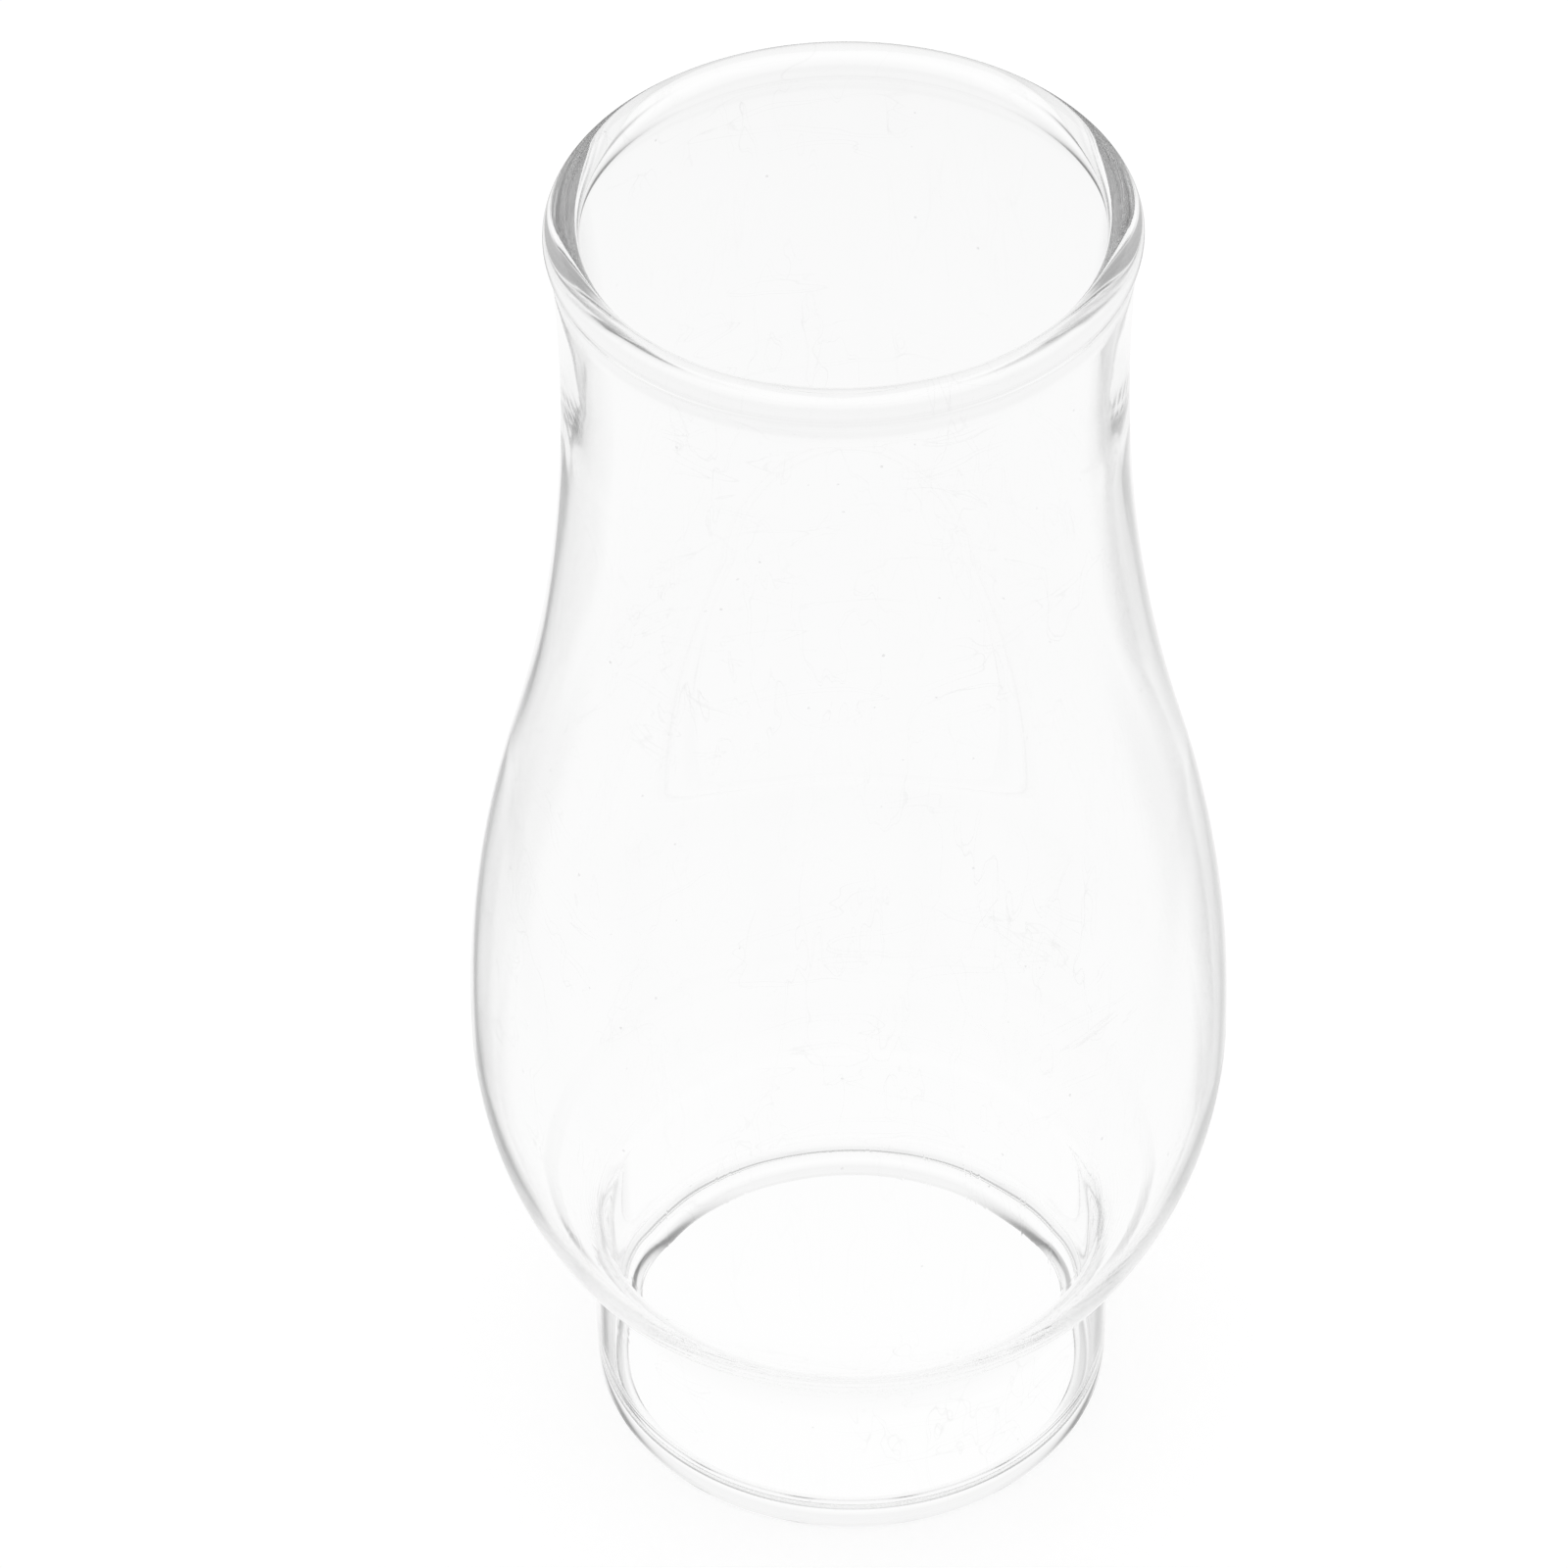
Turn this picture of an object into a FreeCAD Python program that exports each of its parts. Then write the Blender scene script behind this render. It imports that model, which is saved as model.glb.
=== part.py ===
import FreeCAD, Part
import math
import os

from FreeCAD import Vector

# Oil lamp glass: one piece of clear glass, blown as a tube and drawn in twice.
# It stands on its foot bead. +Z runs up the flue, and the origin is the middle of
# the ring that the foot stands on. All lengths are in millimetres.

# Whole glass
total_height = 187.0

# Foot: the cut lower edge, melted back to a round bead with a small flat under it
foot_bead = 3.9
foot_flat_width = 1.4
foot_root_radius = 3.0

# Collar: the straight ring that the burner's gallery holds
collar_diameter = 66.7
collar_wall = 1.3
crease_height = 21.24
crease_radius = 13.9
crease_turn = math.radians(51)

# Bulb: blown out above the crease, thinnest at its widest ring
bulb_diameter = 95.0
bulb_height = 61.7
bulb_wall = 0.9
knuckle_share = 0.60

# Neck: the shoulder draws in to a waist, which opens a little again towards the rim
neck_diameter = 65.8
neck_below_rim = 20.1
neck_wall = 1.2
shoulder_share = 0.405
flare_rise = 0.70

# Rim: the cut upper edge, melted back to a heavier bead that stands in and out
rim_bead = 4.2
rim_proud = 0.55
rim_root_radius = 3.2

neck_height = total_height - neck_below_rim


def point(radius, height):
    """A point of the half section, which is drawn in the XZ plane."""
    return Vector(radius, 0, height)


def place(centre, radius, angle):
    """The point at an angle on a circle, where zero points away from the flue."""
    return centre + point(radius * math.cos(angle), radius * math.sin(angle))


def towards(centre, target):
    """The angle at which one point of the section sees another."""
    return math.atan2(target.z - centre.z, target.x - centre.x)


def bend(centre, radius, first, last):
    """An arc about a centre, from one angle to another."""
    middle = (first + last) / 2
    ends = [place(centre, radius, angle) for angle in (first, middle, last)]
    return Part.Arc(*ends).toShape()


def run(first, last):
    """A straight side of the section."""
    return Part.LineSegment(first, last).toShape()


def centre_below(left, left_reach, right, right_reach):
    """The point at given reaches from two others, on the lower side of their line."""
    line = right - left
    along = (left_reach ** 2 - right_reach ** 2 + line.Length ** 2) / (2 * line.Length)
    down = math.sqrt(left_reach ** 2 - along ** 2)
    way = line / line.Length
    return left + way * along + point(way.z, -way.x) * down


def lower_bulb(collar_r, bulb_r, crease_r, knuckle_r):
    """From the collar's top: a hollow crease, a full knuckle and the bulb's lower arc."""
    crease = point(collar_r + crease_r, crease_height)
    knuckle = place(crease, crease_r + knuckle_r, math.pi - crease_turn)

    # the lower arc touches the knuckle and stands upright at the widest ring
    reach = bulb_r - knuckle.x
    rise = bulb_height - knuckle.z
    arc_r = (reach ** 2 + rise ** 2 - knuckle_r ** 2) / (2 * (reach - knuckle_r))
    arc = point(bulb_r - arc_r, bulb_height)
    touch = towards(arc, knuckle)
    return [
        bend(crease, crease_r, math.pi, math.pi - crease_turn),
        bend(knuckle, knuckle_r, -crease_turn, touch),
        bend(arc, arc_r, touch, 0),
    ]


def shoulder(bulb_r, neck_r):
    """The S from the widest ring to the waist, upright at both ends."""
    drop = bulb_r - neck_r
    climb = neck_height - bulb_height
    both_r = (climb ** 2 + drop ** 2) / (2 * drop)
    bulb_arc_r = both_r * shoulder_share
    neck_arc_r = both_r - bulb_arc_r
    turn = math.asin(climb / both_r)
    return [
        bend(point(bulb_r - bulb_arc_r, bulb_height), bulb_arc_r, 0, turn),
        bend(point(neck_r + neck_arc_r, neck_height), neck_arc_r, math.pi + turn, math.pi),
    ]


def rim_centre():
    """The middle of the rim bead's section, which stands proud of the flared wall."""
    rim_r = neck_diameter / 2 + flare_rise + rim_proud
    return point(rim_r - rim_bead / 2, total_height - rim_bead / 2)


def flare(neck_r, root_side):
    """Above the waist: the flare, and the small root that carries it into the rim bead.

    The flare has opened by its rise at the height of the bead's middle. root_side is 1
    outside the glass and -1 in the flue. Also returns the root's centre.
    """
    climb = rim_centre().z - neck_height
    outer_r = (climb ** 2 + flare_rise ** 2) / (2 * flare_rise)
    flare_r = outer_r + neck_diameter / 2 - neck_r
    centre = point(neck_r + flare_r, neck_height)
    bead_reach = rim_bead / 2 + rim_root_radius
    root = centre_below(rim_centre(), bead_reach, centre, flare_r - root_side * rim_root_radius)
    touch = towards(centre, root)
    root_start = touch if root_side > 0 else touch - math.pi
    edges = [
        bend(centre, flare_r, math.pi, touch),
        bend(root, rim_root_radius, root_start, towards(root, rim_centre())),
    ]
    return edges, root


def rim(outer_root, inner_root):
    """The bead over the top of the wall, from the outer root round to the inner one."""
    centre = rim_centre()
    top = math.pi / 2
    return [
        bend(centre, rim_bead / 2, towards(centre, outer_root), top),
        bend(centre, rim_bead / 2, top, towards(centre, inner_root) + 2 * math.pi),
    ]


def collar_and_foot(outer_r, inner_r):
    """The straight collar, and the foot bead: flush outside, proud inside, cut flat."""
    bead_r = foot_bead / 2
    flat_half = foot_flat_width / 2
    lift = math.sqrt(bead_r ** 2 - flat_half ** 2)
    centre = point(outer_r - bead_r, lift)
    root_reach = bead_r + foot_root_radius
    root_across = centre.x - (inner_r - foot_root_radius)
    root_up = math.sqrt(root_reach ** 2 - root_across ** 2)
    root = point(inner_r - foot_root_radius, lift + root_up)
    seat = math.asin(lift / bead_r)
    return [
        run(point(inner_r, crease_height), point(inner_r, root.z)),
        bend(root, foot_root_radius, 0, towards(root, centre)),
        bend(centre, bead_r, towards(centre, root), math.pi + seat),
        run(point(centre.x - flat_half, 0), point(centre.x + flat_half, 0)),
        bend(centre, bead_r, -seat, 0),
        run(point(outer_r, lift), point(outer_r, crease_height)),
    ]


def glass_chimney():
    """The glass as one solid, turned from its closed half section.

    Each face has its own arcs, so the wall thins from the crease to the widest ring
    and thickens again towards the neck, as blown glass does.
    """
    collar_r = collar_diameter / 2
    bulb_r = bulb_diameter / 2
    neck_r = neck_diameter / 2
    knuckle_r = knuckle_share * (bulb_r - collar_r)

    collar_in = collar_r - collar_wall
    bulb_in = bulb_r - bulb_wall
    neck_in = neck_r - neck_wall

    outer_flare, outer_root = flare(neck_r, 1)
    inner_flare, inner_root = flare(neck_in, -1)

    edges = collar_and_foot(collar_r, collar_in)
    edges += lower_bulb(collar_r, bulb_r, crease_radius, knuckle_r)
    edges += shoulder(bulb_r, neck_r) + outer_flare
    edges += rim(outer_root, inner_root)
    edges += inner_flare + shoulder(bulb_in, neck_in)
    edges += lower_bulb(collar_in, bulb_in, crease_radius + collar_wall, knuckle_r - collar_wall)

    section = Part.Wire(Part.__sortEdges__(edges))
    return Part.Face(section).revolve(Vector(0, 0, 0), Vector(0, 0, 1), 360)


os.makedirs("parts", exist_ok=True)
glass_chimney().exportStep("parts/glass_chimney.step")
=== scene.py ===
import math

import bpy
import numpy as np
from mathutils import Matrix, Vector


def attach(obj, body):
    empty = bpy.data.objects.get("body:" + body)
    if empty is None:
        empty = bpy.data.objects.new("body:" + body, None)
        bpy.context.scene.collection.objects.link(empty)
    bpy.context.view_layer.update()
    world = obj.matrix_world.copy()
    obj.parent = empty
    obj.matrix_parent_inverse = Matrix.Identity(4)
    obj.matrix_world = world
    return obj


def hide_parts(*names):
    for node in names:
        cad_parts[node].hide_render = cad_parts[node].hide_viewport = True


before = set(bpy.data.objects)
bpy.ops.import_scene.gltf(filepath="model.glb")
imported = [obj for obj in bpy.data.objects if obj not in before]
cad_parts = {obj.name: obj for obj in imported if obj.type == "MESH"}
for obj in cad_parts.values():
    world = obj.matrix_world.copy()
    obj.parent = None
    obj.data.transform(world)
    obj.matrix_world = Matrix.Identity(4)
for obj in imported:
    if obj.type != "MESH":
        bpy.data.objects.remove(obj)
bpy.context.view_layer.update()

# Glass: one piece of clear glass, blown as a tube, necked in with a tool above the
# collar and drawn in again at the neck. Both cut edges are melted back to round
# beads. It stands on the foot bead, and nothing is fixed to it.
mm = 0.001

glass_height = 187.0 * mm
collar_radius = 33.35 * mm
collar_wall = 1.3 * mm
foot_bead_radius = 1.95 * mm
foot_flat_half = 0.7 * mm
foot_root_radius = 3.0 * mm

crease_height = 21.24 * mm
crease_radius = 13.9 * mm
crease_turn = math.radians(51)
knuckle_radius = 8.49 * mm

bulb_radius = 47.5 * mm
bulb_height = 61.7 * mm
bulb_wall = 0.9 * mm

neck_radius = 32.9 * mm
neck_height = glass_height - 20.1 * mm
neck_wall = 1.2 * mm
shoulder_share = 0.405
flare_rise = 0.70 * mm

rim_bead_radius = 2.1 * mm
rim_proud = 0.55 * mm
rim_root_radius = 3.2 * mm
rim_centre = (neck_radius + flare_rise + rim_proud - rim_bead_radius, glass_height - rim_bead_radius)

slices = 288
longest_step = 1.1 * mm
tooled_step = 0.15 * mm
step_per_radius = 0.14


def towards(centre, target):
    """The angle at which one point of the section sees another."""
    return math.atan2(target[1] - centre[1], target[0] - centre[0])


def lower_bulb(collar_r, bulb_r, crease_r, knuckle_r):
    """Up from the collar: the crease's hollow, the knuckle and the bulb's lower arc.

    Each bend is a centre, a radius, and the angles where it starts and ends.
    """
    crease = (collar_r + crease_r, crease_height)
    reach = crease_r + knuckle_r
    knuckle = (crease[0] - reach * math.cos(crease_turn), crease[1] + reach * math.sin(crease_turn))
    across, rise = bulb_r - knuckle[0], bulb_height - knuckle[1]
    bulb_arc_r = (across ** 2 + rise ** 2 - knuckle_r ** 2) / (2 * (across - knuckle_r))
    bulb = (bulb_r - bulb_arc_r, bulb_height)
    touch = towards(bulb, knuckle)
    return [(crease, crease_r, math.pi, math.pi - crease_turn),
            (knuckle, knuckle_r, -crease_turn, touch),
            (bulb, bulb_arc_r, touch, 0)]


def shoulder_and_flare(bulb_r, neck_r, root_side):
    """Up from the widest ring: the shoulder's S, the flare, and the root of the rim bead.

    root_side is 1 outside the glass and -1 in the flue.
    """
    drop, climb = bulb_r - neck_r, neck_height - bulb_height
    both_r = (climb ** 2 + drop ** 2) / (2 * drop)
    bulb_arc_r = both_r * shoulder_share
    neck_arc_r = both_r - bulb_arc_r
    turn = math.asin(climb / both_r)

    rise = rim_centre[1] - neck_height
    flare_r = (rise ** 2 + flare_rise ** 2) / (2 * flare_rise) + neck_radius - neck_r
    flare = Vector((neck_r + flare_r, neck_height))
    rim = Vector(rim_centre)
    near = rim_bead_radius + rim_root_radius
    far = flare_r - root_side * rim_root_radius
    line = flare - rim
    along = (near ** 2 - far ** 2 + line.length_squared) / (2 * line.length)
    way = line.normalized()
    root = rim + way * along + Vector((way.y, -way.x)) * math.sqrt(near ** 2 - along ** 2)
    touch = towards(flare, root)
    root_start = touch if root_side > 0 else touch - math.pi
    return [((bulb_r - bulb_arc_r, bulb_height), bulb_arc_r, 0, turn),
            ((neck_r + neck_arc_r, neck_height), neck_arc_r, math.pi + turn, math.pi),
            (flare, flare_r, math.pi, touch),
            (root, rim_root_radius, root_start, towards(root, rim_centre))]


def backwards(bends):
    """The same bends, walked the other way."""
    return [(centre, radius, last, first) for centre, radius, first, last in reversed(bends)]


def walk(bends, finest=longest_step):
    """Points along the bends, each without its last one."""
    points = []
    for centre, radius, first, last in bends:
        step = min(longest_step, step_per_radius * radius, finest)
        count = max(1, math.ceil(abs(last - first) * radius / step))
        for angle in np.linspace(first, last, count + 1)[:-1]:
            points.append((centre[0] + radius * math.cos(angle), centre[1] + radius * math.sin(angle)))
    return points


def straight(radius, low, high):
    """Points on the collar's straight side, without the last one."""
    count = math.ceil(abs(high - low) / longest_step)
    return [(radius, height) for height in np.linspace(low, high, count + 1)[:-1]]


inside_collar = collar_radius - collar_wall
foot_lift = math.sqrt(foot_bead_radius ** 2 - foot_flat_half ** 2)
foot_centre = (collar_radius - foot_bead_radius, foot_lift)
foot_root_x = inside_collar - foot_root_radius
foot_root = (foot_root_x, foot_lift + math.sqrt(
    (foot_bead_radius + foot_root_radius) ** 2 - (foot_centre[0] - foot_root_x) ** 2))
seat = math.asin(foot_lift / foot_bead_radius)

outer_low = lower_bulb(collar_radius, bulb_radius, crease_radius, knuckle_radius)
inner_low = lower_bulb(inside_collar, bulb_radius - bulb_wall, crease_radius + collar_wall,
                       knuckle_radius - collar_wall)
outer_high = shoulder_and_flare(bulb_radius, neck_radius, 1)
inner_high = shoulder_and_flare(bulb_radius - bulb_wall, neck_radius - neck_wall, -1)

outside = (walk([(foot_centre, foot_bead_radius, -seat, 0)])
           + straight(collar_radius, foot_lift, crease_height)
           + walk(outer_low[:2], tooled_step) + walk(outer_low[2:] + outer_high)
           + walk([(rim_centre, rim_bead_radius, towards(rim_centre, outer_high[-1][0]), math.pi / 2)]))
inside = (walk([(rim_centre, rim_bead_radius, math.pi / 2,
                 towards(rim_centre, inner_high[-1][0]) + 2 * math.pi)])
          + walk(backwards(inner_high) + backwards(inner_low))
          + straight(inside_collar, crease_height, foot_root[1])
          + walk([(foot_root, foot_root_radius, 0, towards(foot_root, foot_centre)),
                  (foot_centre, foot_bead_radius, towards(foot_centre, foot_root), math.pi + seat)])
          + [(foot_centre[0] - foot_flat_half, 0)])

# the closed section, which of its points are on the outer face, and the way out of the glass
section = np.array(outside + inside)
side = np.array([1.0] * len(outside) + [0.0] * len(inside))
ahead, behind = np.roll(section, -1, axis=0), np.roll(section, 1, axis=0)
along = ahead - behind
along /= np.linalg.norm(along, axis=1)[:, None]
outward = np.stack([along[:, 1], -along[:, 0]], axis=1)

# blown by hand, so the wall wanders in long upright swells, and the body isn't quite round
chance = np.random.default_rng(seed=41)
turn = np.linspace(0, 2 * math.pi, slices, endpoint=False)
up = section[:, 1] / glass_height


def wander(count, most_around, most_up, steepness):
    """A smooth field over the glass, about one high, from waves of chance size and place."""
    field = np.zeros((len(section), slices))
    for _ in range(count):
        around = chance.integers(1, most_around + 1)
        climbs = chance.uniform(-most_up, most_up)
        phase = chance.uniform(0, 2 * math.pi)
        size = chance.uniform(0.4, 1.0) / around ** steepness
        field += size * np.cos(around * turn[None, :] + 2 * math.pi * climbs * up[:, None] + phase)
    return field / field.std()


wall_swell = 0.012 * mm
wall_cord = 0.002 * mm
skin_swell = 0.006 * mm
body_swell = 0.10 * mm

body = body_swell * wander(6, most_around=3, most_up=1.0, steepness=0.5)
wall = (wall_swell * wander(26, most_around=9, most_up=4.0, steepness=0.6)
        + wall_cord * wander(30, most_around=40, most_up=3.0, steepness=0.3))
skin = skin_swell * wander(26, most_around=12, most_up=4.0, steepness=0.6)

# reheating the lip left the wall thicker at both sides of the neck, down to a rough edge
reheat_height = 160.0 * mm
reheat_top = glass_height - 9 * mm
reheat_fade = 9 * mm
reheat_swell = 0.24 * mm
reheat_rough = 0.012 * mm
reheat_around = 0.40
edge_soft = 1.0 * mm
edge_reach = 3.0 * mm
tall = section[:, 1:]
left_side = np.exp(-((turn - math.pi) / reheat_around) ** 2)
right_side = np.exp(-(np.minimum(turn, 2 * math.pi - turn) / reheat_around) ** 2)
reheated = (1 / (1 + np.exp((reheat_height - tall) / edge_soft))
            * np.clip((reheat_top - tall) / reheat_fade, 0, 1))
rough_edge = (np.exp(-((tall - reheat_height) / edge_reach) ** 2)
              * wander(30, most_around=60, most_up=14.0, steepness=0.0))
wall = wall + (left_side + right_side)[None, :] * (reheated * reheat_swell + rough_edge * reheat_rough)
push = np.where(side[:, None] > 0, skin, wall)

# the tool that necks the glass leaves rings round the crease and the knuckle
ring_pitch = 0.62 * mm
ring_depth = 0.0015 * mm
ring_first, ring_last = 22.5 * mm, 33.6 * mm
ring_fade = 1.0 * mm
ring_shift, shifts_per_mm = 1.3, 2.3
ring_unevenness = 0.4
path = np.concatenate([[0], np.cumsum(np.linalg.norm(np.diff(section, axis=0), axis=1))])[:, None]
tooled = (np.clip((tall - ring_first) / ring_fade, 0, 1)
          * np.clip((ring_last - tall) / ring_fade, 0, 1) * side[:, None])
rings = np.cos(2 * math.pi * path / ring_pitch + ring_shift * np.sin(shifts_per_mm * path / mm))
uneven = 1 + ring_unevenness * wander(8, most_around=6, most_up=2.0, steepness=0.3)
push = push + rings * tooled * ring_depth * uneven

# the foot stands true, and the wandering grows above it
true_foot = 2 * mm
true_body = glass_height / 6
push = push * np.clip(tall / true_foot, 0, 1)
radii = section[:, :1] + outward[:, :1] * push + body * np.clip(tall / true_body, 0, 1)
heights = section[:, 1:] + outward[:, 1:] * push

# the body bows a sixth of a millimetre to the right, most of all at the shoulder
body_bow = 0.16 * mm
bow_climb = 1.6
bow = body_bow * np.sin(math.pi * np.clip(up, 0, 1) ** bow_climb)[:, None]
verts = np.stack([radii * np.cos(turn)[None, :] + bow, radii * np.sin(turn)[None, :], heights], axis=2)
rows = len(section)
here = np.arange(rows)[:, None] * slices + np.arange(slices)[None, :]
above = np.roll(here, -1, axis=0)
faces = np.stack([here, np.roll(here, -1, axis=1), np.roll(above, -1, axis=1), above], axis=2)

glass_mesh = bpy.data.meshes.new("glass_body")
glass_mesh.from_pydata(verts.reshape(-1, 3).tolist(), [], faces.reshape(-1, 4).tolist())
glass_mesh.shade_smooth()
glass_body = bpy.data.objects.new("glass_body", glass_mesh)
bpy.context.scene.collection.objects.link(glass_body)

glass_index = 1.52
glass_density = 0.12

clear_glass = bpy.data.materials.new("clear_glass")
clear_glass.use_nodes = True
nodes, links = clear_glass.node_tree.nodes, clear_glass.node_tree.links
shine = nodes["Principled BSDF"]
shine.inputs["IOR"].default_value = glass_index
shine.inputs["Transmission Weight"].default_value = 1.0
deep = nodes.new("ShaderNodeVolumeAbsorption")
deep.inputs["Color"].default_value = (0, 0, 0, 1)
deep.inputs["Density"].default_value = glass_density
links.new(deep.outputs["Volume"], nodes["Material Output"].inputs["Volume"])

# its finish: hairline scratches in loose patches, drawing lines between the patches, and specks
patch_scale = 38.0
scratched_from, scratched_to = 0.50, 0.60
drawn_from, drawn_to = 0.40, 0.52
scratch_strength = 0.36
speck_scale = 230.0
speck_core, speck_edge = 0.035, 0.055
bare_share = 0.72
mark_tone, draw_tone = 0.72, 0.985
mark_roughness = 0.12
draw_depth = 0.0008 * mm
red_tint, blue_tint = 0.9998, 0.9999
on_glass = nodes.new("ShaderNodeTexCoord").outputs["Object"]


def maths(operation, first, second=0.0):
    """A Math node on sockets or plain numbers, in the material or world that is being made."""
    node = nodes.new("ShaderNodeMath")
    node.operation = operation
    for socket, value in zip(node.inputs, (first, second)):
        if isinstance(value, (int, float)):
            socket.default_value = value
        else:
            links.new(value, socket)
    return node.outputs[0]


def stretched(scale, turned):
    """The glass's own coordinates, scaled along each axis and turned."""
    node = nodes.new("ShaderNodeMapping")
    node.inputs["Scale"].default_value = scale
    node.inputs["Rotation"].default_value = turned
    links.new(on_glass, node.inputs["Vector"])
    return node.outputs[0]


def noise(where, scale, detail):
    """A soft noise of a scale, read at a place."""
    node = nodes.new("ShaderNodeTexNoise")
    node.inputs["Scale"].default_value = scale
    node.inputs["Detail"].default_value = detail
    links.new(where, node.inputs["Vector"])
    return node.outputs["Fac"]


def ramp(value, low, high, first=0.0, last=1.0):
    """A value that runs evenly from first to last between two limits."""
    node = nodes.new("ShaderNodeMapRange")
    for name, number in (("From Min", low), ("From Max", high), ("To Min", first), ("To Max", last)):
        node.inputs[name].default_value = number
    links.new(value, node.inputs["Value"])
    return node.outputs["Result"]


def hairlines(where, scale, width):
    """Thin wandering lines, where a noise passes through its middle."""
    off = maths("ABSOLUTE", maths("SUBTRACT", noise(where, scale, detail=2.0), 0.5))
    return ramp(off, 0.0, width, 1.0, 0.0)


patches = noise(on_glass, patch_scale, detail=1.0)
slanting = hairlines(stretched((1, 1, 5), turned=(0.9, 0.5, 0.3)), scale=30.0, width=0.0034)
crossing = hairlines(stretched((5, 1, 1.5), turned=(0.3, 1.9, 0.7)), scale=34.0, width=0.0030)
upright = hairlines(stretched((1, 1, 0.16), turned=(0.05, 0, 0)), scale=190.0, width=0.010)
scratches = maths("MULTIPLY", ramp(patches, scratched_from, scratched_to), maths("MAXIMUM", slanting, crossing))
draws = maths("MULTIPLY", ramp(patches, drawn_from, drawn_to, 1.0, 0.0), upright)

dust = nodes.new("ShaderNodeTexVoronoi")
dust.inputs["Scale"].default_value = speck_scale
links.new(on_glass, dust.inputs["Vector"])
pick = nodes.new("ShaderNodeSeparateColor")
links.new(dust.outputs["Color"], pick.inputs[0])
specks = maths("MULTIPLY", ramp(dust.outputs["Distance"], speck_core, speck_edge, 1.0, 0.0),
               maths("GREATER_THAN", pick.outputs[0], bare_share))
marks = maths("MAXIMUM", maths("MULTIPLY", scratches, scratch_strength), specks)

tone = maths("MULTIPLY", ramp(marks, 0.0, 1.0, 1.0, mark_tone), ramp(draws, 0.0, 1.0, 1.0, draw_tone))
tint = nodes.new("ShaderNodeCombineColor")
links.new(maths("MULTIPLY", tone, red_tint), tint.inputs[0])
links.new(tone, tint.inputs[1])
links.new(maths("MULTIPLY", tone, blue_tint), tint.inputs[2])
links.new(tint.outputs[0], shine.inputs["Base Color"])
links.new(ramp(marks, 0.0, 1.0, 0.0, mark_roughness), shine.inputs["Roughness"])
relief = nodes.new("ShaderNodeBump")
relief.inputs["Strength"].default_value = 1.0
relief.inputs["Distance"].default_value = draw_depth
links.new(draws, relief.inputs["Height"])
links.new(relief.outputs["Normal"], shine.inputs["Normal"])
glass_mesh.materials.append(clear_glass)

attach(glass_body, "root")
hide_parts("glass_chimney")

# Floor: a plain pale table top, wide enough that its edge is never in view. The glass
# stands on it. The camera sees it white, and it still takes the glass's shadow.
floor_half = 3.0
floor_drop = -0.02 * mm
table_grey, table_glow = 0.20, 0.84
floor_mesh = bpy.data.meshes.new("floor")
corners = [(-1, -1), (1, -1), (1, 1), (-1, 1)]
floor_mesh.from_pydata([(x * floor_half, y * floor_half, floor_drop) for x, y in corners], [], [(0, 1, 2, 3)])
floor = bpy.data.objects.new("floor", floor_mesh)
bpy.context.scene.collection.objects.link(floor)
pale = bpy.data.materials.new("pale_table")
pale.use_nodes = True
nodes, links = pale.node_tree.nodes, pale.node_tree.links
table = nodes["Principled BSDF"]
table.inputs["Base Color"].default_value = (table_grey, table_grey, table_grey, 1)
table.inputs["Roughness"].default_value = 1.0
table.inputs["Specular IOR Level"].default_value = 0.0
table.inputs["Emission Color"].default_value = (table_glow, table_glow, table_glow, 1)
seen = nodes.new("ShaderNodeLightPath")
links.new(seen.outputs["Is Camera Ray"], table.inputs["Emission Strength"])
floor_mesh.materials.append(pale)
floor.visible_transmission = False
floor.visible_glossy = False

# Light: a white room, lit evenly from all round. What the glass bends or mirrors sees
# white straight ahead and darker flags to each side, which draw its edges. A ray's path
# through the glass says which part of the room it sees.
flag_left_by_mirrors = 0.06
side_grey, back_grey, ceiling_grey = 0.5, 0.24, 0.10
face_white, far_grey = 0.97, 0.2

world = bpy.data.worlds.new("studio")
bpy.context.scene.world = world
world.use_nodes = True
nodes, links = world.node_tree.nodes, world.node_tree.links
nodes.clear()
rays = nodes.new("ShaderNodeLightPath")
place = nodes.new("ShaderNodeTexCoord")
split = nodes.new("ShaderNodeSeparateXYZ")
links.new(place.outputs["Generated"], split.inputs[0])
bearing = maths("MULTIPLY", maths("ARCTAN2", split.outputs["X"], split.outputs["Y"]), math.degrees(1))
aside = maths("ABSOLUTE", bearing)
height = maths("MULTIPLY", maths("ARCSINE", split.outputs["Z"]), math.degrees(1))
mirrors = rays.outputs["Glossy Depth"]
mirrored = maths("MINIMUM", mirrors, 1.0)
crossed = rays.outputs["Transmission Depth"]
entered = maths("MINIMUM", crossed, 1.0)


def curve(value, points):
    """A grey that a value reads from points, each a place and how bright it is there."""
    low, high = points[0][0], points[-1][0]
    node = nodes.new("ShaderNodeFloatCurve")
    line = node.mapping.curves[0]
    line.points[0].location = (0, points[0][1])
    line.points[1].location = (1, points[-1][1])
    for where, grey in points[1:-1]:
        line.points.new((where - low) / (high - low), grey)
    for point in line.points:
        point.handle_type = "AUTO_CLAMPED"
    node.mapping.update()
    links.new(maths("DIVIDE", maths("SUBTRACT", value, low), high - low), node.inputs["Value"])
    return node.outputs[0]


def flags(grey, where):
    """What is left of the light where flags of a grey hang, and all of it where none do."""
    return maths("SUBTRACT", 1.0, maths("MULTIPLY", where, maths("SUBTRACT", 1.0, grey)))


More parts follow.
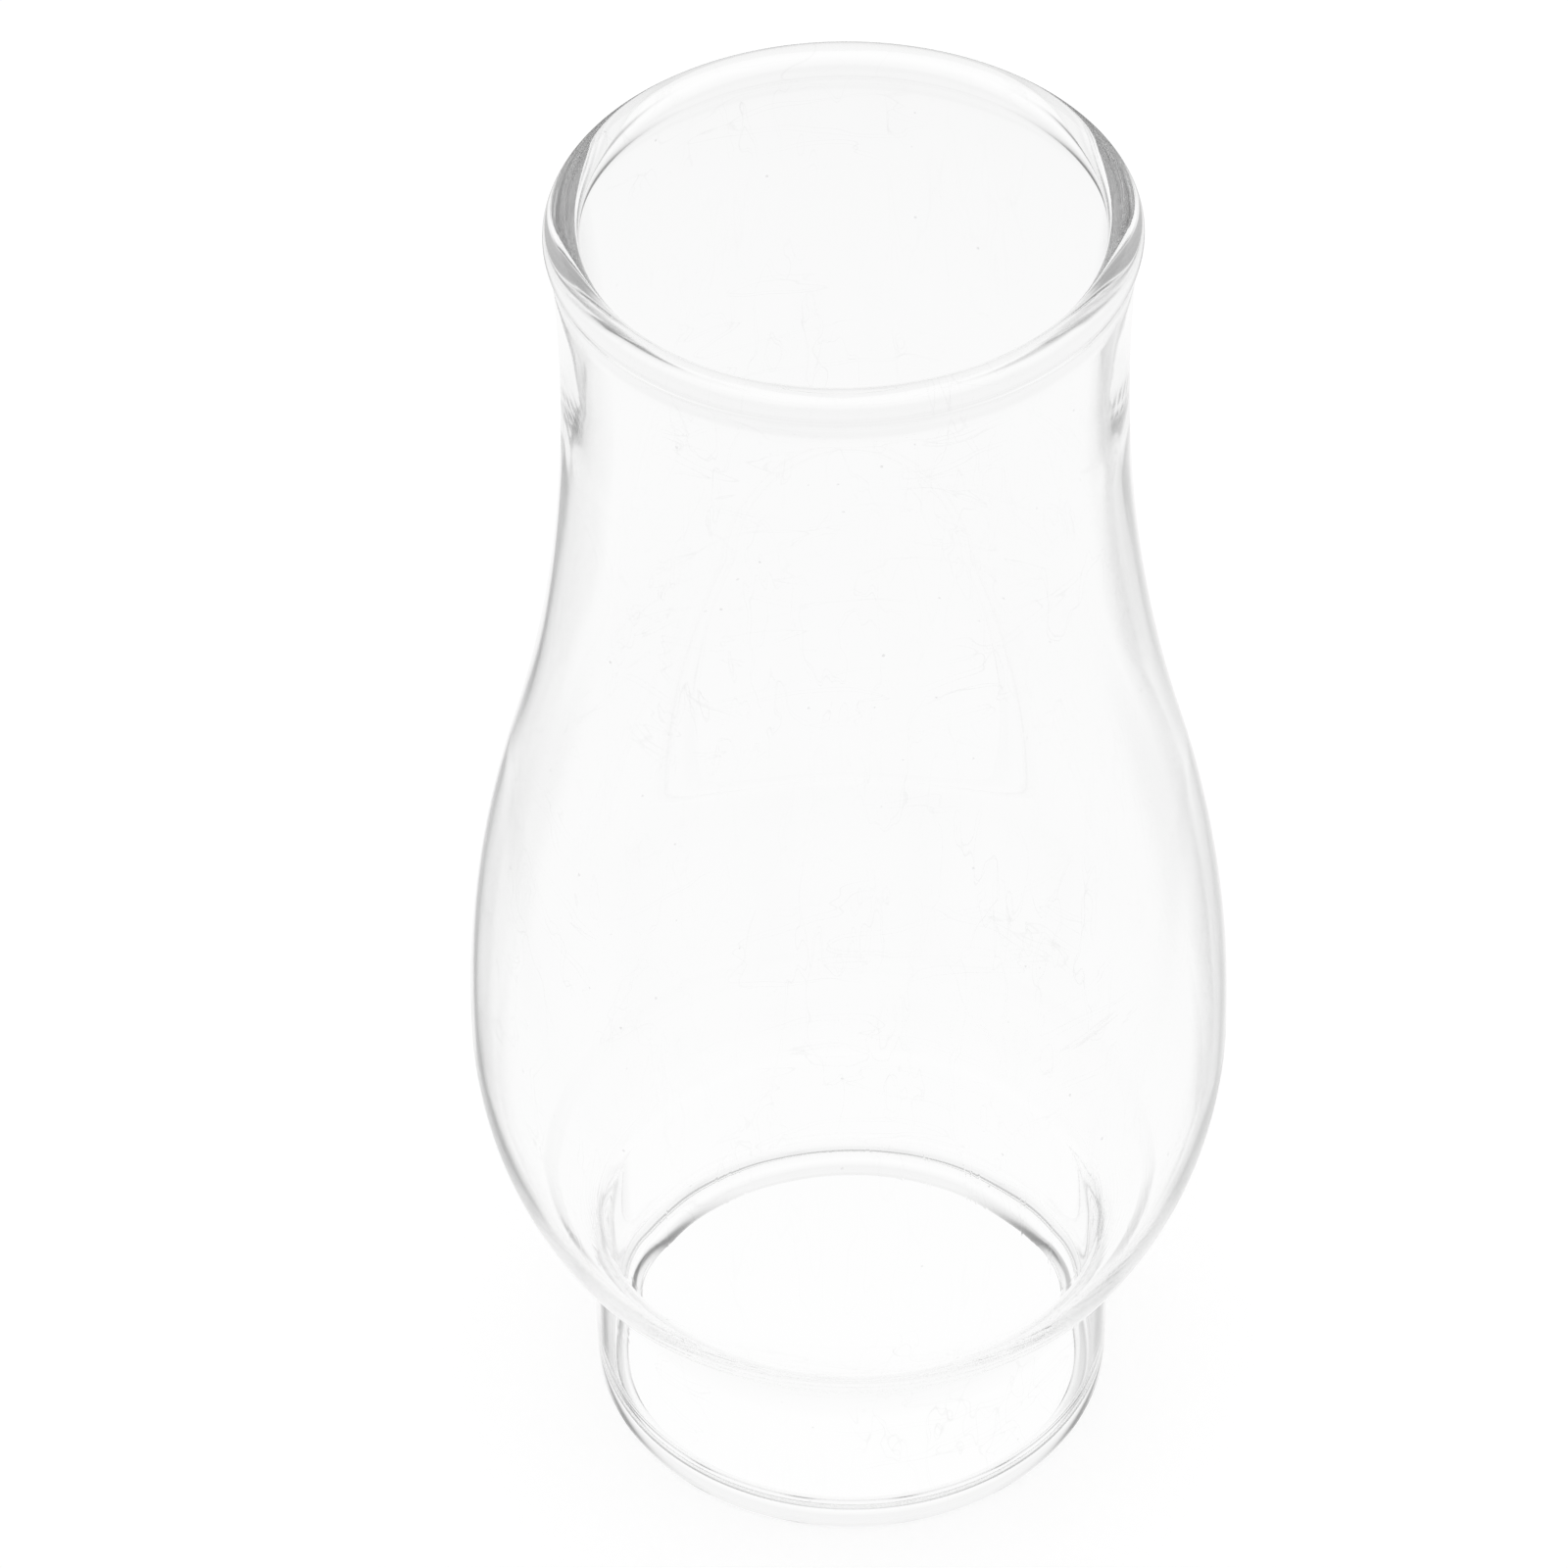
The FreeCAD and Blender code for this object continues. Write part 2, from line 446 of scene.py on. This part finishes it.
# low flags stand to both sides of the view from the front, and high ones all round
low_flags = curve(bearing, [
    (-60, 1), (-50, 1), (-47, 0.99), (-44, 0.90), (-41, 0.75), (-38, 0.63), (-35, 0.52), (-32, 0.38), (-28, 0.16),
    (-26, 0.06), (-23, 0.02), (-21, 0.04), (-19, 0.36), (-17, 0.70), (-15, 0.84), (-12, 0.93), (-8, 0.98), (-6, 1),
    (6, 1), (9, 0.98), (12, 0.89), (15, 0.68), (18, 0.56), (21, 0.47), (25, 0.39), (28, 0.42), (32, 0.57),
    (36, 0.63), (41, 0.67), (45, 0.79), (50, 0.86), (55, 1), (60, 1)])
high_flags = curve(maths("PINGPONG", bearing, 22.5), [
    (0, 1), (9, 1), (12, 0.95), (15, 0.82), (18, 0.50), (20.5, 0.20), (22.5, 0.12)])
low_band = curve(height, [(-90, 0), (-55, 0), (-50, 1), (-36, 1), (-31, 0), (90, 0)])
high_band = curve(height, [(-90, 0), (-36, 0), (-31, 1), (14, 1), (40, 0), (90, 0)])

# the room's own brightness, from its floor to its ceiling
room = curve(height, [
    (-90, 0.96), (-60, 0.985), (-50, 1), (-47, 0.993), (-44, 0.981), (-41, 0.966), (-39, 0.957), (-36, 0.945),
    (-33, 0.92), (-30, 0.91), (-26, 0.915), (-20, 0.92), (-12, 0.92), (0, 0.88), (10, 0.87), (30, 0.91),
    (50, 0.96), (90, 0.975)])

# light that was mirrored often, or that crossed several walls, sees less of the flags
few_crossed = curve(crossed, [(0, 1), (2, 1), (3, 0), (40, 0)])
low_share = maths(
    "MAXIMUM", maths("MULTIPLY", few_crossed, curve(mirrors, [(0, 1), (4, 1), (8, 0), (40, 0)])),
    curve(mirrors, [(0, 1), (1, 1), (2, 0.25), (3, 0), (40, 0)]))
high_share = maths(
    "MAXIMUM", maths("SUBTRACT", 1.0, maths("MULTIPLY", mirrored, 1.0 - flag_left_by_mirrors)),
    maths("MULTIPLY", few_crossed, curve(mirrors, [(0, 0), (1, 0), (2, 1), (40, 1)])))
low_flagged = flags(low_flags, maths("MULTIPLY", low_band, low_share))
high_flagged = flags(high_flags, maths("MULTIPLY", high_band, high_share))
through_glass = maths("MULTIPLY", room, maths("MULTIPLY", low_flagged, high_flagged))

# light mirrored inside one wall also sees the grey side walls of the room
side_walls = maths("MULTIPLY", curve(aside, [(0, 0), (22, 0), (28, 1), (60, 1), (75, 0), (180, 0)]),
                   curve(height, [(-90, 0), (-34, 0), (-28, 1), (22, 1), (36, 0), (90, 0)]))
in_one_wall = maths("MULTIPLY", mirrored, few_crossed)
through_glass = maths("MULTIPLY", through_glass, flags(side_grey, maths("MULTIPLY", side_walls, in_one_wall)))

# light that runs on round a bead comes from the dark side of the room, behind the camera
piped = maths("MULTIPLY", curve(mirrors, [(0, 0), (9, 0), (15, 1), (40, 1)]), few_crossed)
behind_camera = maths("MULTIPLY", curve(aside, [(0, 0), (60, 0), (80, 1), (180, 1)]),
                      curve(height, [(-90, 0), (-54, 0), (-46, 1), (18, 1), (30, 0), (90, 0)]))
through_glass = maths("MULTIPLY", through_glass, flags(back_grey, maths("MULTIPLY", piped, behind_camera)))

# light that went into two walls and was mirrored in them comes from the dark ceiling
twice = maths("MULTIPLY", curve(mirrors, [(0, 0), (2, 0), (4, 1), (9, 1), (12, 0), (40, 0)]),
              curve(crossed, [(0, 0), (2, 0), (3, 1), (4, 1), (5, 0), (40, 0)]))
ceiling = curve(height, [(-90, 0), (15, 0), (35, 1), (90, 1)])
through_glass = maths("MULTIPLY", through_glass, flags(ceiling_grey, maths("MULTIPLY", twice, ceiling)))

# what the outer face mirrors: white all round, but for the dim far wall above the table
far_wall = maths("MULTIPLY", curve(aside, [(0, 1), (14, 1), (32, 0), (180, 0)]),
                 curve(height, [(-90, 0), (-39, 0), (-24, 1), (90, 1)]))
off_face = maths("MULTIPLY", face_white, flags(far_grey, far_wall))
shade = maths("ADD", maths("MULTIPLY", through_glass, entered),
              maths("MULTIPLY", off_face, maths("SUBTRACT", 1.0, entered)))

# the camera, and what lights the table, see plain white
plain = maths("MAXIMUM", rays.outputs["Is Camera Ray"], maths("MINIMUM", rays.outputs["Diffuse Depth"], 1.0))
mix = nodes.new("ShaderNodeMix")
mix.data_type = "RGBA"
links.new(plain, mix.inputs["Factor"])
links.new(shade, mix.inputs["A"])
mix.inputs["B"].default_value = (1, 1, 1, 1)
sky = nodes.new("ShaderNodeBackground")
links.new(mix.outputs["Result"], sky.inputs["Color"])
sky.inputs["Strength"].default_value = 1.0
out = nodes.new("ShaderNodeOutputWorld")
links.new(sky.outputs[0], out.inputs["Surface"])

# Camera: a long lens that looks down at the glass from the front, from where the shapes
# of its rim, its foot and its two sides say that it stood.
camera_data = bpy.data.cameras.new("camera")
camera = bpy.data.objects.new("camera", camera_data)
bpy.context.scene.collection.objects.link(camera)
bpy.context.scene.camera = camera
frame_pixels = 1600
focal_pixels = 6823.1
camera_back, camera_up = 0.60187, 0.64960
pitch, yaw, roll = 0.74031, -0.01278, -0.01643
camera_data.sensor_width = 36.0
camera_data.lens = camera_data.sensor_width * focal_pixels / frame_pixels
camera_data.clip_start = 0.01
camera_data.clip_end = 20.0
forward = Vector((math.sin(yaw) * math.cos(pitch), math.cos(yaw) * math.cos(pitch), -math.sin(pitch)))
right = Vector((math.cos(yaw), -math.sin(yaw), 0))
over = right.cross(forward)
right_rolled = right * math.cos(roll) + over * math.sin(roll)
over_rolled = over * math.cos(roll) - right * math.sin(roll)
camera.matrix_world = Matrix((
    (right_rolled.x, over_rolled.x, -forward.x, 0),
    (right_rolled.y, over_rolled.y, -forward.y, -camera_back),
    (right_rolled.z, over_rolled.z, -forward.z, camera_up),
    (0, 0, 0, 1)))

bpy.context.scene.view_settings.view_transform = "Standard"

# light runs round inside the rim bead for a long way
most_bounces = 200
bpy.context.scene.cycles.max_bounces = most_bounces
bpy.context.scene.cycles.transmission_bounces = most_bounces
bpy.context.scene.cycles.glossy_bounces = most_bounces

bpy.context.view_layer.update()
